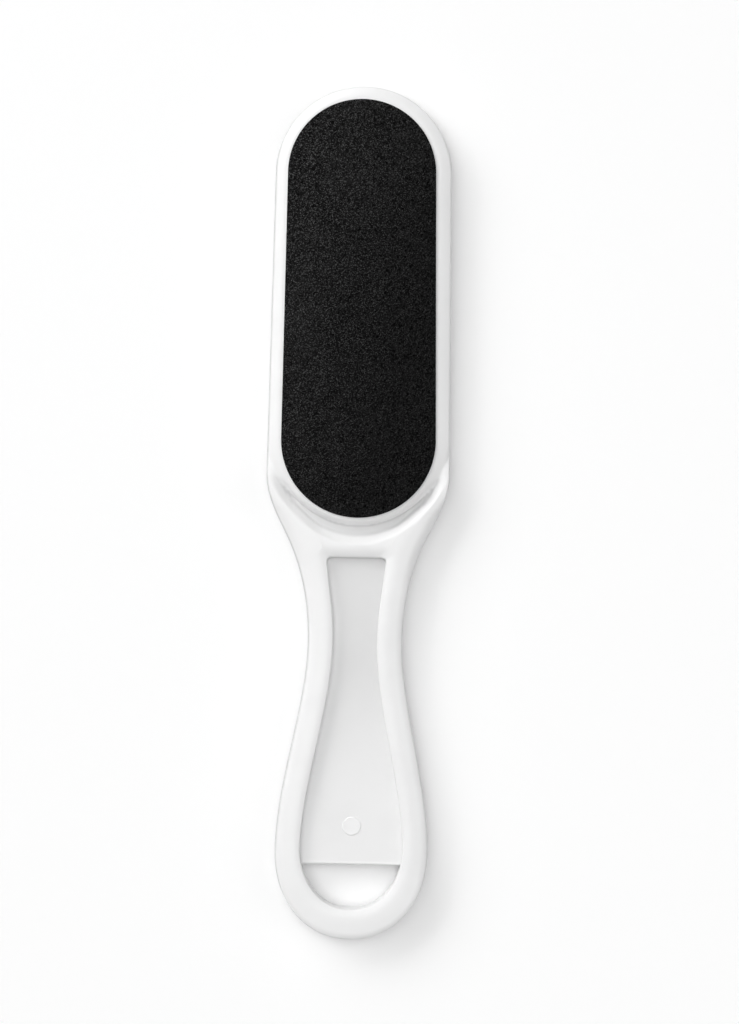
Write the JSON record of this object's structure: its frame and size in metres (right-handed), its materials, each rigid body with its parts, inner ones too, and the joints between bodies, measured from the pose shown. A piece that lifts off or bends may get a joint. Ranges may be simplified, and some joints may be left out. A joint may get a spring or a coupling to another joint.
{
  "type": "foot file",
  "caption": "Foot file with a rounded paddle head, a black abrasive sheet on each face and a moulded white loop handle with a thin web and a D-shaped hang hole.",
  "frame": {"origin": "middle of the whole file's length and width, on the resting plane under the rear grain coat", "axes": "+Y from the handle's bow towards the head's tip, +X to the right of the front face with the head up, +Z out of the front face"},
  "size_m": [0.0452, 0.21, 0.0081],
  "materials": {
    "white_plastic": "smooth satin gloss",
    "adhesive_film": "thin translucent film",
    "sheet_backing": "matt, latex-filled",
    "coarse_grit": "coarse sharp grain",
    "fine_grit": "fine sharp grain"
  },
  "bodies": {
    "root": {"moulded_body": "white_plastic", "front_adhesive": "adhesive_film", "front_backing": "sheet_backing", "front_grit": "coarse_grit", "rear_adhesive": "adhesive_film", "rear_backing": "sheet_backing", "rear_grit": "fine_grit"}
  },
  "joints": []
}
